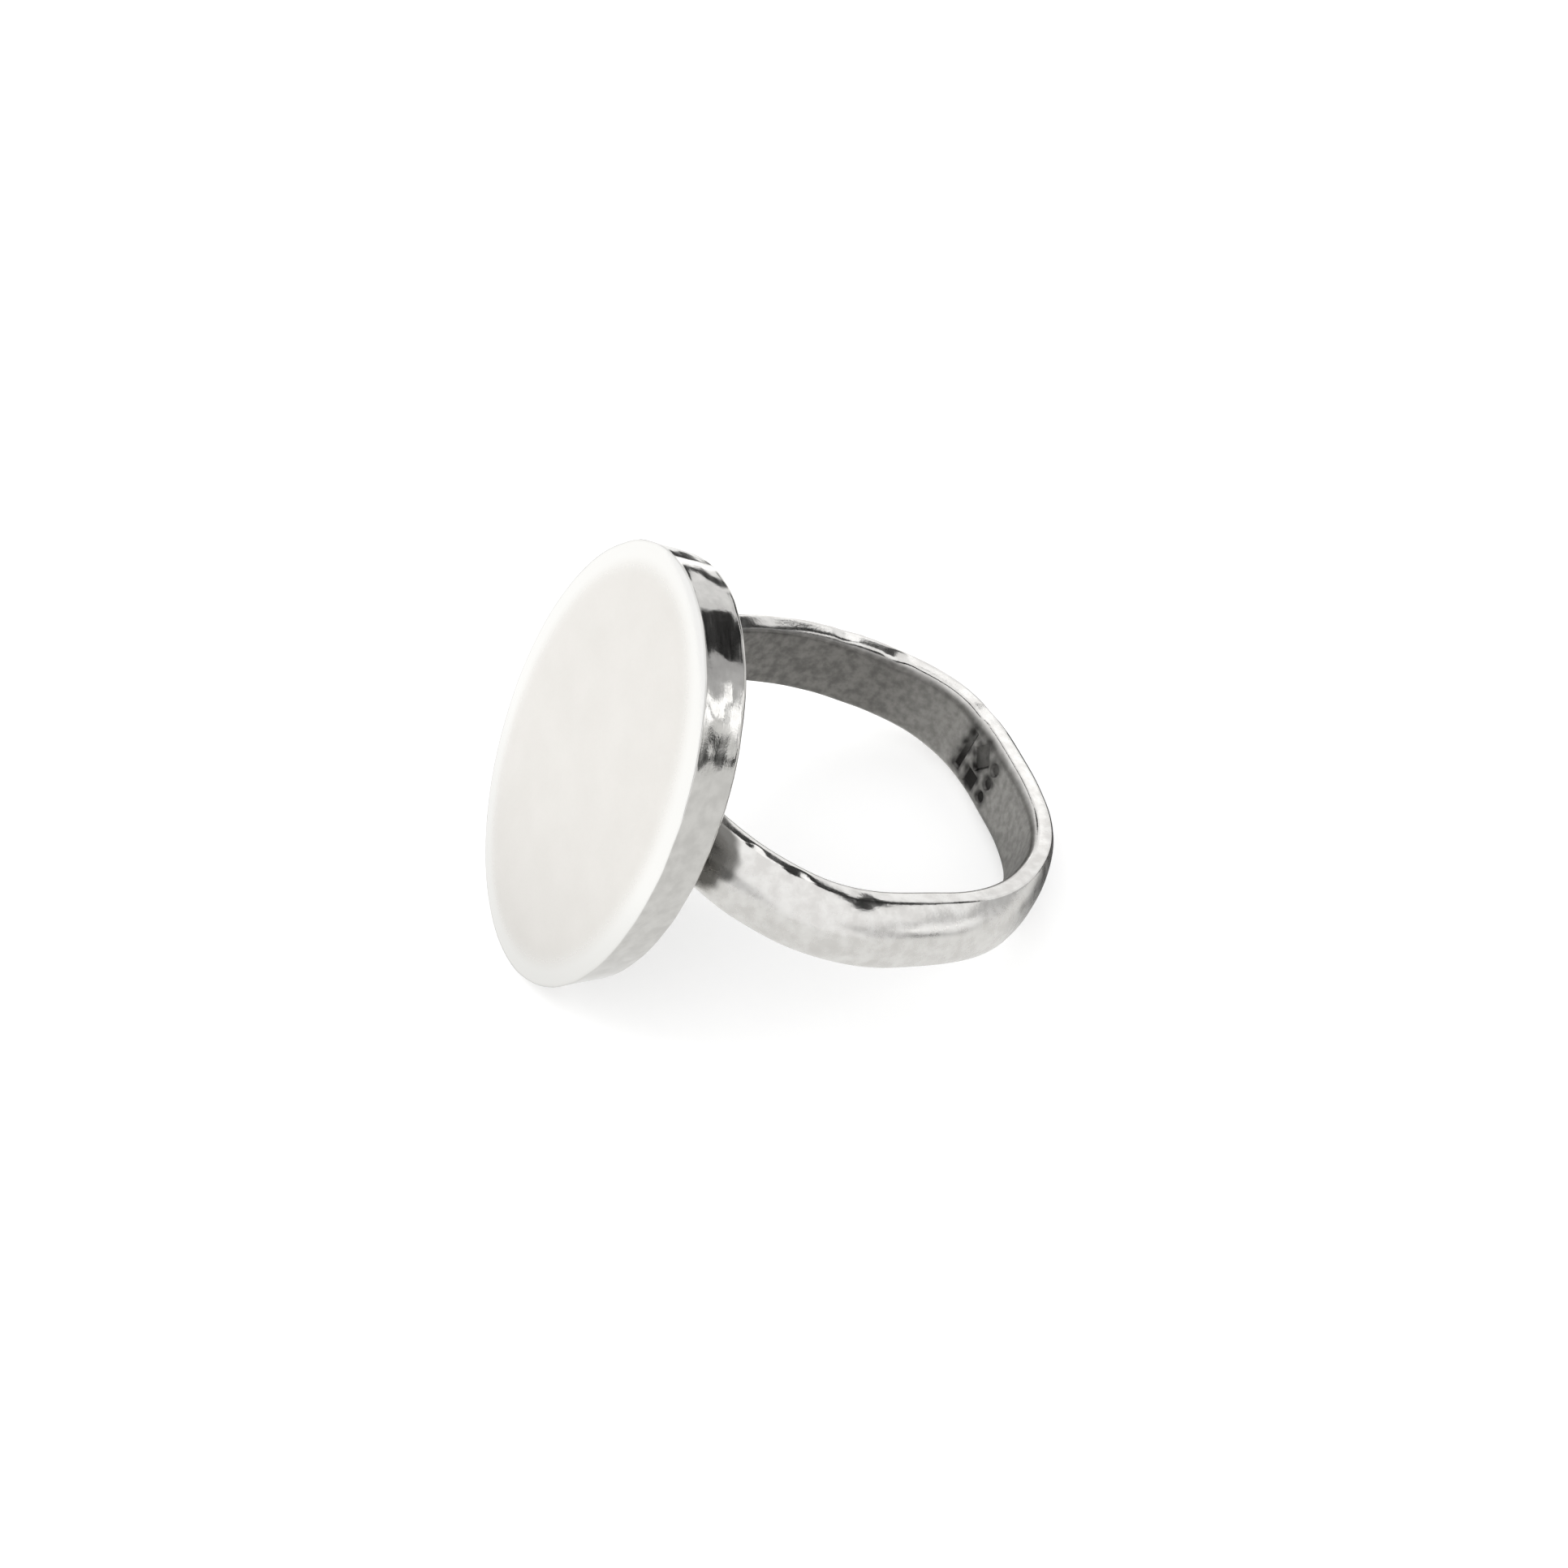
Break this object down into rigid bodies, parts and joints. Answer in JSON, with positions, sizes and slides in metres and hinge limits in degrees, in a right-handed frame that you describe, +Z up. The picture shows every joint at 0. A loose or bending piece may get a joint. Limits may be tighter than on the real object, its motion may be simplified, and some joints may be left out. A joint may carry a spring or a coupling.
{
  "type": "signet ring",
  "caption": "Hand-made signet ring: a plain oval plate soldered to a half-round finger shank, lying on its side as on a table.",
  "frame": {"origin": "centre of the bottom of the bounding box, on the table that the ring lies on", "axes": "+Z up; +X from the oval plate to the back of the shank; the ring lies on its side, its finger hole's axis leaning about 23 degrees from +Z towards +X, and the plate's face looking to -X and a little up"},
  "size_m": [0.0258, 0.021, 0.0206],
  "materials": {
    "satin_silver": "satin silver face with faint tarnish, polished rim and side wall",
    "polished_silver": "worn polished silver, softly brushed, darker inside the finger hole",
    "silver_solder": "silver solder, a little greyer and duller than the ring"
  },
  "bodies": {
    "root": {"signet_plate": "satin_silver", "shank": "polished_silver", "plate_solder": "silver_solder", "shank_seam_solder": "silver_solder"}
  },
  "joints": []
}
